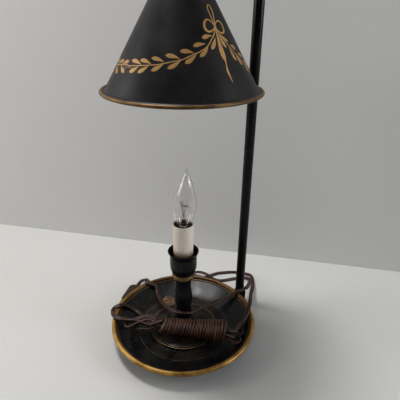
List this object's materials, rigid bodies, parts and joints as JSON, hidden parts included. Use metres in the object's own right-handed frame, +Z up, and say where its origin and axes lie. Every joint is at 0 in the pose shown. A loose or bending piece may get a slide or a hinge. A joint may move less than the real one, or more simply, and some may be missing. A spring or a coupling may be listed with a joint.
{
  "type": "bouillotte lamp",
  "caption": "Black tole bouillotte lamp: a gilt-edged dish with a candle light in its middle, a cone shade on a sliding, swinging arm, and a coiled brown cord with plug.",
  "frame": {"origin": "middle of the dish, on the surface that the felt stands on", "axes": "+Z up along the stem; +X to the right and +Y away, seen from the front; the rod stands at 36 degrees from +X towards +Y"},
  "size_m": [0.1905, 0.2057, 0.4576],
  "materials": {
    "black_tole": "satin black lacquer on spun steel",
    "gilt": "worn antique gold paint on metal",
    "cast_iron": "rough dark casting",
    "felt": "dark green felt",
    "zinc_steel": "zinc plated steel",
    "brass": "turned brass",
    "bakelite": "dark brown moulded insulation",
    "candle_cream": "cream moulded candle cover, yellowed",
    "clear_glass": "clear blown glass",
    "wire_grey": "dull nickel and tungsten wire",
    "solder": "lead solder",
    "brown_cord": "brown parallel cord, two conductors, satin vinyl",
    "brown_plug": "brown moulded plug, scuffed",
    "black_rubber": "soft black rubber"
  },
  "bodies": {
    "base": {"dish": "black_tole", "dish_rim": "gilt", "base_ring": "cast_iron", "felt_ring": "felt", "rod_strap": "black_tole", "strap_foot": "black_rubber", "rod_screw": "zinc_steel", "nipple": "brass", "base_nut": "brass", "lock_washer": "zinc_steel", "stem": "black_tole", "gilt_collar": "gilt", "candle_cup": "black_tole", "socket_bracket": "zinc_steel", "socket_body": "bakelite", "socket_screw": "brass", "screw_shell": "brass", "center_contact": "brass", "candle_cover": "candle_cream", "bulb_base": "brass", "bulb_insulator": "bakelite", "bulb_contact": "solder", "bulb_glass": "clear_glass", "bulb_mount": "clear_glass", "bulb_wires": "wire_grey", "bulb_filament": "wire_grey", "supply_lead": "brown_cord", "cord_bushing": "black_rubber", "rod": "black_tole", "rod_finial": "gilt", "cord_lamp_run": "brown_cord", "cord_hank": "brown_cord", "cord_plug_run": "brown_cord", "plug_body": "brown_plug", "plug_blades": "brass"},
    "slider": {"collar_bush": "brass", "retaining_ring": "zinc_steel"},
    "arm": {"slide_collar": "black_tole", "arm": "black_tole"},
    "thumb_screw": {"thumb_screw": "brass"},
    "shade": {"shade": "black_tole", "shade_rim": "gilt", "shade_cap": "black_tole", "shade_stud": "brass", "cap_nut": "brass", "eye_washer": "brass", "shade_finial": "gilt"}
  },
  "joints": [
    {"name": "shade_height", "type": "slide", "parent": "base", "child": "slider", "axis": [0, 0, 1], "range_m": [-0.15, 0.02]},
    {"name": "arm_swing", "type": "hinge", "parent": "slider", "child": "arm", "pos_m": [0.07528, 0.05469, 0.404], "axis": [0, 0, 1], "continuous": true},
    {"name": "shade_turn", "type": "hinge", "parent": "arm", "child": "shade", "pos_m": [0, 0, 0.404], "axis": [0, 0, 1], "continuous": true},
    {"name": "thumb_screw_turn", "type": "hinge", "parent": "arm", "child": "thumb_screw", "pos_m": [0.07528, 0.05469, 0.404], "axis": [-0.5878, 0.809, 0], "range_deg": [0, 360]}
  ]
}
